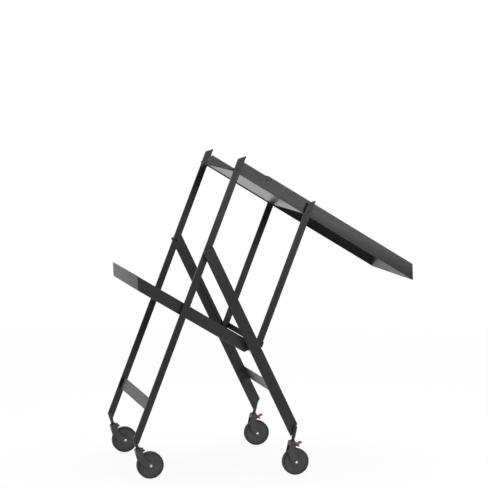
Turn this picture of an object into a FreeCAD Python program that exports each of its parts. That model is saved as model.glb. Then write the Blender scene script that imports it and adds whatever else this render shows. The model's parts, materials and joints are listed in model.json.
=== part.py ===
"""Two-tier folding serving trolley, shown half folded.

Local frames: every flat piece is drawn in the X-Z plane of its own frame, with the pivot
that carries it at the origin, and Y across the trolley.  The two long legs lean back by
long_lean, the two short legs lean the other way, and both trays slope by tray_slope.
"""
import FreeCAD, Part
import math
import os
import Sketcher

Vector = FreeCAD.Vector
Y_AXIS = Vector(0, 1, 0)

doc = FreeCAD.newDocument("folding_trolley")
sheet = doc.addObject("Spreadsheet::Sheet", "Sizes")

# Driving sizes in millimetres and degrees.
SIZES = {
    # pose of the half-folded linkage
    "long_lean": 20.4, "short_lean": 26.4, "tray_slope": 30.4, "open_lean": 37.7,
    # linkage: distances between pivots
    "fold_to_table": 264, "fold_to_tray": 176, "tray_pivot_pitch": 250,
    # long leg and strut bars
    "bar_width": 20, "bar_thickness": 8, "long_tip": 299, "long_foot": 587,
    "long_tip_drop": 16, "long_foot_drop": 8,
    "strut_tip": 30, "strut_tip_drop": 14, "strut_end": 10,
    # short leg bars
    "short_width": 34, "short_thickness": 8, "short_offset": 7.3, "short_head": 10,
    "short_foot": 596, "short_foot_drop": 25,
    "track_depth": 2, "track_start": 151, "track_end": 470,
    # layers across the trolley, from the middle plane
    "bar_inner": 199, "leg_gap": 3.5, "deck_gap": 2, "tray_gap": 7,
    # cross plates
    "plate_thickness": 3, "long_plate_top": 457, "long_plate_width": 36,
    "short_plate_top": 464, "short_plate_width": 41,
    "strut_plate_rise": 24, "strut_plate_width": 17,
    # table deck, an inverted tray
    "sheet_thickness": 1.5, "end_wall": 1.8, "deck_rise": 29, "deck_depth": 41, "deck_left": 9,
    "deck_length": 610, "deck_left_flare": 24, "deck_right_flare": 27,
    "grip_length": 85, "grip_step": 3.5, "hinge_plate_recess": 3, "hinge_plate_length": 246,
    "rivet_radius": 2.5,
    # lower tray, rims up
    "tray_rise": 15, "tray_depth": 36, "tray_left": 148, "tray_right": 225, "tray_flare": 24,
    "ear_thickness": 2.5, "ear_height": 20, "ear_reach": 38, "ear_margin": 9,
    # pivots
    "pin_radius": 4, "running_clearance": 0.05, "face_clearance": 0.3,
    "washer_radius": 7, "clip_thickness": 1.5, "pin_stand": 0.5,
    "roller_wall": 0.8, "track_clearance": 0.2,
    # castors
    "wheel_radius": 40, "wheel_width": 20, "tyre_depth": 5, "tyre_round": 3, "core_recess": 2,
    "rim_width": 3.5,
    "hub_radius": 12, "axle_radius": 4, "axle_stand": 1, "cheek_gap": 1,
    "cheek_thickness": 4, "trail": 21, "crown_clearance": 4, "crown_height": 16,
    "crown_radius": 9.5, "crown_step": 3, "pintle_radius": 4, "pintle_length": 13,
    "axle_boss": 10, "boss_corner": 0.7, "cheek_waist": 31, "cheek_neck": 17,
    "cheek_neck_offset": 6, "cheek_heel": 5, "cheek_elbow": 22, "lever_lug": 3.4,
    "stem_radius": 5.5, "stem_overlap": 14, "short_stem_height": 90,
    # brake lever
    "lever_x": -7, "lever_clearance": 11, "lever_root": 4, "lever_back": 2.9, "lever_width": 16,
    "lever_pin_radius": 1.5, "lever_reach": 14, "lever_lift": 8, "lever_toe": 3,
    "prong_reach": 10, "prong_drop": 4.5, "prong_width": 3,
    # how far a cutting tool runs past the face it cuts
    "overrun": 2,
}
# Sizes that follow others, so that what fits together keeps its clearance.
FITTED = {
    "short_inner": "=bar_inner + bar_thickness + leg_gap",
    "deck_half": "=bar_inner - deck_gap",
    "tray_half": "=bar_inner - tray_gap",
    "roller_radius": "=pin_radius + roller_wall",
    "track_width": "=(pin_radius + roller_wall + track_clearance) * 2",
    "core_rim": "=wheel_radius - tyre_depth - rim_width",
    "fork_crown": "=wheel_radius + crown_clearance",
    "fork_height": "=wheel_radius + crown_clearance + crown_height",
    "lever_z": "=wheel_radius + lever_clearance",
}
NAMED = SIZES | FITTED
for row, (alias, number) in enumerate(NAMED.items(), start=1):
    sheet.set(f"A{row}", alias)
    sheet.set(f"B{row}", str(number))
    sheet.setAlias(f"B{row}", alias)
doc.recompute()


def size(expression):
    """Value of an expression of named sizes."""
    result = sheet.evalExpression(bind(expression))
    return float(getattr(result, "Value", result))


def bind(expression):
    """Put the sheet's name before every size named in an expression."""
    words = []
    for word in expression.replace("(", " ( ").replace(")", " ) ").split():
        sign = "-" if word.startswith("-") and word[1:] in NAMED else ""
        name = word[1:] if sign else word
        words.append(f"{sign}Sizes.{name}" if name in NAMED else word)
    return " ".join(words)


def new_body(name):
    return doc.addObject("PartDesign::Body", name)


def origin_plane(body, role):
    return next(f for f in body.Origin.OriginFeatures if f.Role == role)


def outline(body, name, points):
    """Closed straight-sided sketch in the body's X-Z plane; each corner is two expressions."""
    sketch = body.newObject("Sketcher::SketchObject", name)
    sketch.AttachmentSupport = [(origin_plane(body, "XZ_Plane"), "")]
    sketch.MapMode = "FlatFace"
    corners = [Vector(size(x), size(z), 0) for x, z in points]
    for index, corner in enumerate(corners):
        sketch.addGeometry(Part.LineSegment(corner, corners[(index + 1) % len(corners)]))
    for index in range(len(corners)):
        follower = (index + 1) % len(corners)
        sketch.addConstraint(Sketcher.Constraint("Coincident", index, 2, follower, 1))
    for index, (x, z) in enumerate(points):
        for kind, expression, number in (("DistanceX", x, corners[index].x),
                                         ("DistanceY", z, corners[index].y)):
            place = sketch.addConstraint(Sketcher.Constraint(kind, -1, 1, index, 1, number))
            sketch.setExpression(f"Constraints[{place}]", bind(expression))
    return sketch


def circle(body, name, x, z, radius):
    """Circle sketch in the body's X-Z plane."""
    sketch = body.newObject("Sketcher::SketchObject", name)
    sketch.AttachmentSupport = [(origin_plane(body, "XZ_Plane"), "")]
    sketch.MapMode = "FlatFace"
    centre = Vector(size(x), size(z), 0)
    sketch.addGeometry(Part.Circle(centre, Vector(0, 0, 1), size(radius)))
    for kind, expression, number in (("DistanceX", x, centre.x), ("DistanceY", z, centre.y)):
        place = sketch.addConstraint(Sketcher.Constraint(kind, -1, 1, 0, 3, number))
        sketch.setExpression(f"Constraints[{place}]", bind(expression))
    place = sketch.addConstraint(Sketcher.Constraint("Radius", 0, size(radius)))
    sketch.setExpression(f"Constraints[{place}]", bind(radius))
    return sketch


def pad(body, sketch, length):
    """Symmetric pad of a sketch across the body's middle plane."""
    feature = body.newObject("PartDesign::Pad", sketch.Name + "_pad")
    feature.Profile = sketch
    feature.SideType = "Symmetric"
    feature.setExpression("Length", bind(length))
    return feature


def pocket(body, sketch, length):
    """Symmetric pocket of a sketch across the body's middle plane."""
    feature = body.newObject("PartDesign::Pocket", sketch.Name + "_pocket")
    feature.Profile = sketch
    feature.SideType = "Symmetric"
    feature.setExpression("Length", bind(length))
    return feature


def primitive(kind, name, **expressions):
    shape = doc.addObject(f"Part::{kind}", name)
    for prop, expression in expressions.items():
        shape.setExpression(prop, bind(expression))
    return shape


def rod(name, radius, length):
    """Cylinder along Y, centred on the origin."""
    shape = primitive("Cylinder", name, Radius=radius, Height=length)
    lie_along_y = FreeCAD.Rotation(Vector(1, 0, 0), -90)
    shape.Placement = FreeCAD.Placement(Vector(0, -size(length) / 2, 0), lie_along_y)
    return shape


def ring(name, outer, inner, length):
    """Washer or bush along Y, centred on the origin."""
    return boolean("Cut", name, rod(name + "_outer", outer, length),
                   rod(name + "_bore", inner, length + " + overrun"))


def boolean(kind, name, base, tool):
    result = doc.addObject(f"Part::{kind}", name)
    result.Base = base
    result.Tool = tool
    return result


def turned(x, z, angle):
    """A point of a frame that is turned about Y by angle degrees."""
    cosine, sine = math.cos(math.radians(angle)), math.sin(math.radians(angle))
    return x * cosine + z * sine, z * cosine - x * sine


# ---------------------------------------------------------------- places of the pivots
LONG = size("long_lean")
SHORT = -size("short_lean")
SLOPE = size("tray_slope")
LONG_STEM = LONG - size("open_lean")
SHORT_STEM = size("open_lean") + SHORT


def drop_of_wheel(foot_x, foot_z, lean, stem_lean, height):
    """Depth of a castor's axle under the fold pivot."""
    foot = turned(foot_x, foot_z, lean)
    stem = turned(size("trail"), -height, stem_lean)
    return -(foot[1] + stem[1])


short_drop = drop_of_wheel(size("short_offset"), -size("short_foot"), SHORT, SHORT_STEM,
                           size("short_stem_height"))
foot_drop = drop_of_wheel(0, -size("long_foot"), LONG, LONG_STEM, 0)
LONG_STEM_HEIGHT = (short_drop - foot_drop) / math.cos(math.radians(LONG_STEM))
FOLD_Z = short_drop + size("wheel_radius")

up_long = turned(0, 1, LONG)
along_tray = turned(1, 0, SLOPE)
FOLD = (0.0, FOLD_Z)
TABLE = (size("fold_to_table") * up_long[0], FOLD_Z + size("fold_to_table") * up_long[1])
TRAY = (-size("fold_to_tray") * up_long[0], FOLD_Z - size("fold_to_tray") * up_long[1])
PITCH = size("tray_pivot_pitch")
STRUT = (TABLE[0] + PITCH * along_tray[0], TABLE[1] + PITCH * along_tray[1])
SLIDER = (TRAY[0] + PITCH * along_tray[0], TRAY[1] + PITCH * along_tray[1])
STRUT_LENGTH = "( fold_to_table + fold_to_tray )"

BAR_Y = size("bar_inner + bar_thickness / 2")
SHORT_Y = size("short_inner + short_thickness / 2")
LONG_STEM_Y = size("bar_inner - stem_radius")
SHORT_STEM_Y = size("short_inner + short_thickness + stem_radius")
SIDES = {"right": -1, "left": 1}

parts = {}


def frame_at(pivot, angle, y=0.0):
    return FreeCAD.Placement(Vector(pivot[0], y, pivot[1]), FreeCAD.Rotation(Y_AXIS, angle))


def keep(name, source, placement):
    """Register a finished piece under its node name, moved to its place."""
    source.Label = name
    source.Placement = placement.multiply(source.Placement)
    parts[name] = source


def pair(name, make, pivot, angle, y):
    """Two like pieces, one on each side, in one node."""
    doc.recompute()
    solids = []
    for side in SIDES.values():
        source = make(f"{name}_{'left' if side > 0 else 'right'}_source")
        doc.recompute()
        shape = source.Shape.copy()
        shape.Placement = frame_at(pivot, angle, side * y).multiply(shape.Placement)
        solids.append(shape)
    group = doc.addObject("Part::Feature", name)
    group.Label = name
    group.Shape = Part.makeCompound(solids)
    parts[name] = group


# ---------------------------------------------------------------- bars of the two leg frames
def long_leg(name):
    body = new_body(name)
    half = "bar_width / 2"
    side = outline(body, name + "_side", [
        ("-" + half, "long_tip - long_tip_drop / 2"), (half, "long_tip + long_tip_drop / 2"),
        (half, "-long_foot - long_foot_drop / 2"), ("-" + half, "-long_foot + long_foot_drop / 2")])
    pad(body, side, "bar_thickness")
    for hole, z in (("table", "fold_to_table"), ("fold", "0"), ("tray", "-fold_to_tray")):
        pocket(body, circle(body, f"{name}_{hole}_hole", "0", z, "pin_radius"), "bar_thickness + overrun")
    return body


def short_leg(name):
    body = new_body(name)
    left = "short_offset - short_width / 2"
    right = "short_offset + short_width / 2"
    side = outline(body, name + "_side", [
        (left, "short_head"), (right, "short_head"),
        (right, "-short_foot + short_foot_drop / 2"), (left, "-short_foot - short_foot_drop / 2")])
    pad(body, side, "short_thickness")
    hole = circle(body, name + "_hole", "0", "0", "pin_radius + running_clearance")
    pocket(body, hole, "short_thickness + overrun")
    return body


def strut(name):
    body = new_body(name)
    half = "bar_width / 2"
    low = f"0 - {STRUT_LENGTH} - strut_end"
    side = outline(body, name + "_side", [
        ("-" + half, "strut_tip - strut_tip_drop / 2"),
        (half, "strut_tip + strut_tip_drop / 2"), (half, low), ("-" + half, low)])
    pad(body, side, "bar_thickness")
    for hole, z in (("table", "0"), ("slider", "0 - " + STRUT_LENGTH)):
        pocket(body, circle(body, f"{name}_{hole}_hole", "0", z, "pin_radius"), "bar_thickness + overrun")
    return body


def slotted_short_leg(name, side):
    """Short leg with a shallow track on its inner face for the slider roller."""
    blank = short_leg(name + "_blank")
    track = new_body(name + "_track")
    left = "short_offset - track_width / 2"
    right = "short_offset + track_width / 2"
    path = outline(track, name + "_path", [(left, "-track_start"), (right, "-track_start"),
                                           (right, "-track_end"), (left, "-track_end")])
    pad(track, path, "track_depth * 2")
    track.Placement.Base = Vector(0, -side * size("short_thickness") / 2, 0)
    return boolean("Cut", name + "_cut", blank, track)


def cross_plate(name, centre_x, top, width, length):
    """Flat plate across the trolley, between two bars."""
    body = new_body(name)
    left = f"{centre_x} - plate_thickness / 2"
    right = f"{centre_x} + plate_thickness / 2"
    low = f"{top} - {width}"
    section = outline(body, name + "_section", [(left, top), (right, top), (right, low), (left, low)])
    pad(body, section, length)
    return body


for side_name, sign in SIDES.items():
    keep(f"long_leg_{side_name}", long_leg(f"long_{side_name}"), frame_at(FOLD, LONG, sign * BAR_Y))
    keep(f"short_leg_{side_name}", slotted_short_leg(f"short_{side_name}", sign),
         frame_at(FOLD, SHORT, sign * SHORT_Y))
    keep(f"strut_{side_name}", strut(f"link_{side_name}"), frame_at(STRUT, LONG, sign * BAR_Y))

keep("long_leg_crossbar",
     cross_plate("long_plate", "0", "-long_plate_top", "long_plate_width", "bar_inner * 2"),
     frame_at(FOLD, LONG))
keep("short_leg_crossbar",
     cross_plate("short_plate", "short_offset + short_width / 2 - plate_thickness / 2",
                 "-short_plate_top", "short_plate_width", "short_inner * 2"),
     frame_at(FOLD, SHORT))
keep("strut_crossplate",
     cross_plate("strut_plate", "bar_width / 2 + plate_thickness / 2",
                 "strut_plate_rise + strut_plate_width / 2", "strut_plate_width",
                 "bar_inner * 2 + bar_thickness * 2"),
     frame_at(SLIDER, LONG))


# ---------------------------------------------------------------- table deck and lower tray
def table_deck():
    """Inverted tray of folded sheet: deck on top, skirts down, open hand grip at the left end."""
    body = new_body("deck")
    top, low = "deck_rise", "deck_rise - deck_depth"
    left, right = "deck_left", "deck_left + deck_length"
    pad(body, outline(body, "deck_side", [
        (left, top), (right, top), (right + " + deck_right_flare", low),
        (left + " - deck_left_flare", low)]), "deck_half * 2")
    under, wall = "deck_rise - sheet_thickness", "end_wall"
    pocket(body, outline(body, "deck_hollow", [
        (left + " - deck_left_flare", under), (f"{right} - {wall}", under),
        (f"{right} + deck_right_flare - {wall}", low),
        (f"{right} + deck_right_flare - {wall}", low + " - overrun"),
        (left + " - deck_left_flare * 2", low + " - overrun")]), "( deck_half - sheet_thickness ) * 2")
    step = "deck_left + grip_length"
    pocket(body, outline(body, "grip_opening", [
        (left + " - deck_left_flare", top + " + overrun"), (step, top + " + overrun"),
        (step, under + " - overrun"), (left + " - deck_left_flare", under + " - overrun")]),
        "( deck_half - sheet_thickness ) * 2")
    pocket(body, outline(body, "grip_step_cut", [
        (left + " - deck_left_flare", top + " + overrun"), (step, top + " + overrun"),
        (step, top + " - grip_step"), (left + " - deck_left_flare", top + " - grip_step")]),
        "deck_half * 2 + overrun")
    for hole, x in (("leg", "0"), ("strut", "tray_pivot_pitch")):
        bore = circle(body, f"deck_{hole}_hole", x, "0", "pin_radius + running_clearance")
        pocket(body, bore, "deck_half * 2 + overrun")
    return body


def lower_tray():
    """Shallow sheet tray with its rims up and both ends flared outwards."""
    body = new_body("tray")
    top, low = "tray_rise", "tray_rise - tray_depth"
    pad(body, outline(body, "tray_side", [
        ("-tray_left", low), ("tray_right", low),
        ("tray_right + tray_flare", top), ("-tray_left - tray_flare", top)]), "tray_half * 2")
    floor, wall = f"{low} + sheet_thickness", "end_wall"
    pocket(body, outline(body, "tray_hollow", [
        (f"-tray_left + {wall}", floor), (f"tray_right - {wall}", floor),
        (f"tray_right + tray_flare - {wall}", top),
        (f"tray_right + tray_flare - {wall}", top + " + overrun"),
        (f"-tray_left - tray_flare + {wall}", top + " + overrun"),
        (f"-tray_left - tray_flare + {wall}", top)]),
        "( tray_half - sheet_thickness ) * 2")
    bore = circle(body, "tray_leg_hole", "0", "0", "pin_radius + running_clearance")
    pocket(body, bore, "tray_half * 2 + overrun")
    return body


def hinge_plate():
    """Closing plate between the skirts, under the pivots of the deck."""
    body = new_body("closing_plate")
    low = "deck_rise - deck_depth + hinge_plate_recess"
    left = "deck_left"
    pad(body, outline(body, "closing_section", [
        (left, low), (left + " + hinge_plate_length", low),
        (left + " + hinge_plate_length", low + " + sheet_thickness"),
        (left, low + " + sheet_thickness")]), "( deck_half - sheet_thickness ) * 2")
    return body


def hinge_ear(name):
    """Plate on the outside of the tray's rim that reaches out to the strut pivot."""
    body = new_body(name)
    left = "tray_pivot_pitch - ear_reach"
    right = "tray_pivot_pitch + ear_margin"
    top, low = "ear_height / 2", "0 - ear_height / 2"
    pad(body, outline(body, name + "_side", [(left, low), (right, low), (right, top), (left, top)]),
        "ear_thickness")
    pocket(body, circle(body, name + "_hole", "tray_pivot_pitch", "0",
                        "pin_radius + running_clearance"), "ear_thickness + overrun")
    return body


keep("table_deck", table_deck(), frame_at(TABLE, SLOPE))
keep("hinge_plate", hinge_plate(), frame_at(TABLE, SLOPE))
keep("lower_tray", lower_tray(), frame_at(TRAY, SLOPE))
pair("tray_hinge_ears", hinge_ear, TRAY, SLOPE, size("tray_half + ear_thickness / 2"))
rivet_spot = turned(size("deck_left + grip_length"), size("deck_rise - grip_step * 3"), SLOPE)
pair("deck_rivets", lambda name: rod(name, "rivet_radius", "sheet_thickness"),
     (TABLE[0] + rivet_spot[0], TABLE[1] + rivet_spot[1]), SLOPE,
     size("deck_half + sheet_thickness / 2"))


# ---------------------------------------------------------------- pins, washers, clips, rollers
def pins(name, pivot, inner, outer):
    """Pair of pivot pins between two distances from the middle plane."""
    length = f"{outer} - ( {inner} )"
    pair(name, lambda source: rod(source, "pin_radius", length), pivot, LONG,
         size(f"( {outer} + {inner} ) / 2"))


def rings(name, pivot, radius, inner, outer):
    """Pair of rings on the pins between two distances from the middle plane."""
    length = f"{outer} - ( {inner} )"
    pair(name, lambda source: ring(source, radius, "pin_radius", length), pivot, LONG,
         size(f"( {outer} + {inner} ) / 2"))


BAR_OUTER = "bar_inner + bar_thickness"
DECK_INNER = "deck_half - sheet_thickness"
TRAY_INNER = "tray_half - sheet_thickness"
CLIP = "clip_thickness"
GAP = "face_clearance"
pins("fold_pins", FOLD, "bar_inner", "short_inner + short_thickness")
rings("fold_washers", FOLD, "washer_radius", BAR_OUTER, f"short_inner - {GAP}")
for pin_name, pivot_place in (("table_pins", TABLE), ("strut_pins", STRUT)):
    pins(pin_name, pivot_place, f"{DECK_INNER} - {GAP} - {CLIP} - pin_stand", BAR_OUTER)
    rings(pin_name.replace("pins", "washers"), pivot_place, "washer_radius",
          f"deck_half + {GAP}", "bar_inner")
    rings(pin_name.replace("pins", "clips"), pivot_place, "washer_radius",
          f"{DECK_INNER} - {GAP} - {CLIP}", f"{DECK_INNER} - {GAP}")
pins("tray_pins", TRAY, f"{TRAY_INNER} - {GAP} - {CLIP} - pin_stand", BAR_OUTER)
rings("tray_spacers", TRAY, "washer_radius", f"tray_half + {GAP}", "bar_inner")
rings("tray_clips", TRAY, "washer_radius", f"{TRAY_INNER} - {GAP} - {CLIP}", f"{TRAY_INNER} - {GAP}")
pins("slider_pins", SLIDER, "tray_half + pin_stand", f"short_inner - {GAP}")
rings("slider_washers", SLIDER, "washer_radius", f"tray_half + ear_thickness + {GAP}", "bar_inner")
rings("slider_rollers", SLIDER, "roller_radius", BAR_OUTER, f"short_inner - {GAP}")


# ---------------------------------------------------------------- castors
def upright(name, radius, x, low, height):
    """Round post along the castor's swivel axis."""
    post = primitive("Cylinder", name, Radius=radius, Height=height)
    post.setExpression("Placement.Base.x", bind(x))
    post.setExpression("Placement.Base.z", bind(low))
    return post


def stem(name, height):
    """Stem beside the leg's foot, with the steel pintle that the fork turns on."""
    tube = upright(name + "_tube", "stem_radius", "-trail", "fork_height + face_clearance",
                   f"{height} + stem_overlap - fork_height - face_clearance")
    pintle = upright(name + "_pintle", "pintle_radius", "-trail", "fork_height - pintle_length",
                     "pintle_length + face_clearance * 2")
    return boolean("Fuse", name + "_fuse", tube, pintle)


def fork(name):
    """Moulded fork: crown round the pintle and a curved cheek each side of the wheel."""
    across = "( wheel_width / 2 + cheek_gap + cheek_thickness ) * 2"
    cheek = new_body(name + "_cheeks")
    back, front = "-trail - crown_radius", "-trail + crown_radius"
    pad(cheek, outline(cheek, name + "_cheek", [
        (back, "fork_height - crown_step"), (front, "fork_height - crown_step"),
        (front, "lever_z + lever_lug"), ("lever_x + lever_lug", "lever_z + lever_lug"),
        ("lever_x + lever_lug", "lever_z - lever_lug"), (front, "lever_z - lever_lug"),
        (front, "cheek_waist"), ("-cheek_neck_offset", "cheek_neck"),
        ("axle_boss * boss_corner", "axle_boss * boss_corner"), ("axle_boss", "0"),
        ("axle_boss * boss_corner", "0 - axle_boss * boss_corner"), ("0", "-axle_boss"),
        ("0 - axle_boss * boss_corner", "0 - axle_boss * boss_corner"),
        ("-trail", "cheek_heel"), (back, "cheek_elbow")]), across)
    room = outline(cheek, name + "_room", [
        ("-trail * 3", "-wheel_radius * 2"), ("wheel_radius * 2", "-wheel_radius * 2"),
        ("wheel_radius * 2", "fork_height + overrun"), (front, "fork_height + overrun"),
        (front, "fork_crown"), ("-trail * 3", "fork_crown")])
    pocket(cheek, room, "( wheel_width / 2 + cheek_gap ) * 2")
    crown = upright(name + "_crown", "crown_radius", "-trail", "fork_crown", "fork_height - fork_crown")
    whole = boolean("Fuse", name + "_whole", cheek, crown)
    bore = upright(name + "_bore", "pintle_radius + running_clearance", "-trail",
                   "fork_height - pintle_length - face_clearance", "pintle_length + overrun")
    bored = boolean("Cut", name + "_bored", whole, bore)
    axle_hole = rod(name + "_axle_hole", "axle_radius", across + " + overrun")
    return boolean("Cut", name + "_fork", bored, axle_hole)


def wheel_core(name):
    """Moulded wheel disc with a shallow recess each side of its web."""
    disc = rod(name + "_disc", "wheel_radius - tyre_depth", "wheel_width - 1")
    dished = disc
    for label, sign in (("near", -1), ("far", 1)):
        recess = ring(f"{name}_{label}", "core_rim", "hub_radius", "core_recess * 2")
        doc.recompute()
        recess.Placement.Base = Vector(0, sign * size("wheel_width / 2 - 0.5"), 0)
        dished = boolean("Cut", f"{name}_{label}_dish", dished, recess)
    return boolean("Cut", name + "_core", dished,
                   rod(name + "_bore", "axle_radius + running_clearance", "wheel_width + overrun"))


def tyre(name):
    """Rubber ring with rounded shoulders."""
    tread = ring(name + "_ring", "wheel_radius", "wheel_radius - tyre_depth", "wheel_width")
    doc.recompute()
    shoulders = [index for index, edge in enumerate(tread.Shape.Edges, start=1)
                 if hasattr(edge.Curve, "Radius")
                 and abs(edge.Curve.Radius - size("wheel_radius")) < 1e-6]
    rounded = doc.addObject("Part::Fillet", name + "_rounded")
    rounded.Base = tread
    rounded.Edges = [(index, size("tyre_round"), size("tyre_round")) for index in shoulders]
    return rounded


def brake_lever(name):
    """Forked rocker: a raised toe to press and a lower prong that meets the tyre."""
    body = new_body(name)
    x, z, root = "lever_x", "lever_z", "lever_root"
    back, toe, prong = f"{x} - lever_back", f"{x} + lever_reach", f"{x} + prong_reach"
    pad(body, outline(body, name + "_side", [
        (back, f"{z} - {root} / 2"), (x, f"{z} - {root}"),
        (f"{prong} - prong_width", f"{z} - prong_drop - prong_width / 2"),
        (prong, f"{z} - prong_drop"), (f"{x} + {root}", z), (toe, f"{z} + lever_lift"),
        (f"{toe} - lever_toe / 2", f"{z} + lever_lift + lever_toe"), (x, f"{z} + {root}"),
        (back, f"{z} + {root} / 2")]), "lever_width")
    bore = circle(body, name + "_bore", x, z, "lever_pin_radius + running_clearance")
    pocket(body, bore, "lever_width + overrun")
    return body


def lever_pin(name):
    pin = rod(name, "lever_pin_radius", "( wheel_width / 2 + cheek_gap ) * 2")
    pin.Placement.Base = pin.Placement.Base + Vector(size("lever_x"), 0, size("lever_z"))
    return pin


for end, (foot_x, foot_z, lean, stem_lean, height, y) in {
        "long": (0, -size("long_foot"), LONG, LONG_STEM, LONG_STEM_HEIGHT, LONG_STEM_Y),
        "short": (size("short_offset"), -size("short_foot"), SHORT, SHORT_STEM,
                  size("short_stem_height"), SHORT_STEM_Y)}.items():
    foot = turned(foot_x, foot_z, lean)
    axle = turned(size("trail"), -height, stem_lean)
    centre = (FOLD[0] + foot[0] + axle[0], FOLD[1] + foot[1] + axle[1])
    pair(f"{end}_leg_stems", lambda name, height=height: stem(name, str(height)),
         centre, stem_lean, y)
    for side_name, sign in SIDES.items():
        name = f"{end}_{side_name}"
        seat = frame_at(centre, stem_lean, sign * y)
        keep(f"{name}_fork", fork(name), seat)
        keep(f"{name}_wheel", wheel_core(name + "_disc"), seat)
        keep(f"{name}_tyre", tyre(name + "_tread"), seat)
        keep(f"{name}_axle", rod(name + "_axle_rod", "axle_radius",
                                 "( wheel_width / 2 + cheek_gap + cheek_thickness + axle_stand ) * 2"), seat)
        if end == "short":
            keep(f"{side_name}_brake_lever", brake_lever(name + "_lever"), seat)
            keep(f"{side_name}_brake_pin", lever_pin(name + "_lever_pin"), seat)

doc.recompute()

# ---------------------------------------------------------------- centre over the footprint
whole = FreeCAD.BoundBox()
for piece in parts.values():
    whole.add(piece.Shape.optimalBoundingBox(False))
shift = FreeCAD.Placement(Vector(-whole.Center.x, 0, 0), FreeCAD.Rotation())
for piece in parts.values():
    piece.Placement = shift.multiply(piece.Placement)
doc.recompute()

# ---------------------------------------------------------------- checks and export
for item in doc.Objects:
    if "Invalid" in item.State or "Error" in item.State:
        raise RuntimeError(f"{item.Label} failed: {item.State}")
os.makedirs("parts", exist_ok=True)
for name, piece in parts.items():
    if piece.Shape.isNull() or not piece.Shape.isValid():
        raise RuntimeError(f"{name} has no valid shape")
    piece.Shape.exportStep(f"parts/{name}.step")

for name, place in (("fold", FOLD), ("table", TABLE), ("tray", TRAY), ("strut", STRUT),
                    ("slider", SLIDER)):
    print(f"pivot {name}: x {place[0] - whole.Center.x:.3f}, z {place[1]:.3f}")
print(f"long stem height {LONG_STEM_HEIGHT:.3f}, box {whole}")
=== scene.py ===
"""Folding two-tier serving trolley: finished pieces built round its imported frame."""

import json
import math

import bmesh
import bpy
from bpy.props import FloatProperty, FloatVectorProperty, IntProperty, PointerProperty
from mathutils import Matrix, Vector


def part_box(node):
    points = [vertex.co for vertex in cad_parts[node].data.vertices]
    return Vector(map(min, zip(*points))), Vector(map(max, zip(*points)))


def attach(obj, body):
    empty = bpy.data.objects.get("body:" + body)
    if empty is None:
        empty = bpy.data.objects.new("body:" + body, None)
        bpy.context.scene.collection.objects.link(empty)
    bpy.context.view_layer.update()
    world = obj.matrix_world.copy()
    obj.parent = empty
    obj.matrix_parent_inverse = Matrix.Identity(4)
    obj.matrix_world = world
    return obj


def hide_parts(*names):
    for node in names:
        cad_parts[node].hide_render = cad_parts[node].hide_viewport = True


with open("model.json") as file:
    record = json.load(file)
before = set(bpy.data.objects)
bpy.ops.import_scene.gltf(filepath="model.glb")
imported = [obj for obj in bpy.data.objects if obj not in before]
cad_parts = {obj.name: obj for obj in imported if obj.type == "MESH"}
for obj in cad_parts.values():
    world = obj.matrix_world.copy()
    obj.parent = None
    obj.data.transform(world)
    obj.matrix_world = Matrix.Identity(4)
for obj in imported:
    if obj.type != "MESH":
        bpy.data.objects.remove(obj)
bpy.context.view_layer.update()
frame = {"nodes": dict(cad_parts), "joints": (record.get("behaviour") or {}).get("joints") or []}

bl_info = {
    "name": "Folding serving trolley",
    "version": (1, 0, 0),
    "blender": (4, 5, 0),
    "location": "3D View > Sidebar > Trolley",
    "description": "Finished bars, folded trays, castors, brakes and pivots of a folding trolley",
    "category": "Object",
}

MM = 0.001
SIDES = {"right": -1, "left": 1}

# ---------------------------------------------------------------- places, from the frame's joints
JOINTS = {joint["name"]: joint for joint in frame["joints"]}


def pivot(joint):
    return Vector(JOINTS[joint]["pos_m"])


FOLD = pivot("short_leg_fold")
TABLE = pivot("table_fold")
TRAY = pivot("tray_fold")
STRUT = pivot("strut_fold")
SLIDER = TRAY + STRUT - TABLE
LONG_LEAN = math.atan2(TABLE.x - FOLD.x, TABLE.z - FOLD.z)
SLOPE = math.atan2(TABLE.z - STRUT.z, STRUT.x - TABLE.x)


def seat(place, angle):
    """Frame with its origin at a pivot, turned about Y."""
    return Matrix.Translation(place) @ Matrix.Rotation(angle, 4, "Y")


def span(node):
    """Nearest and farthest distance of a CAD node from the trolley's middle plane."""
    reach = [abs(vertex.co.y) for vertex in frame["nodes"][node].data.vertices]
    return min(reach), max(reach)


def castor_frame(name):
    """Frame of a castor: axle at the origin, swivel axis upright, and the trail between them."""
    axis = JOINTS[f"{name}_swivel"]["axis"]
    place = seat(pivot(f"{name}_roll"), math.atan2(axis[0], axis[2]))
    stem = place.inverted() @ pivot(f"{name}_swivel")
    return place, -stem.x


# ---------------------------------------------------------------- settings
def length(name, description, millimetres):
    return FloatProperty(name=name, description=description, default=millimetres * MM,
                         min=0.0, unit="LENGTH", precision=4)


def colour(name, description, code):
    return FloatVectorProperty(name=name, description=description, default=linear(code),
                               size=4, min=0.0, max=1.0, subtype="COLOR")


def linear(code):
    """sRGB hex code as linear RGBA."""
    channels = [int(code[i:i + 2], 16) / 255 for i in (1, 3, 5)]
    return [c / 12.92 if c <= 0.04045 else ((c + 0.055) / 1.055) ** 2.4 for c in channels] + [1.0]


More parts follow.
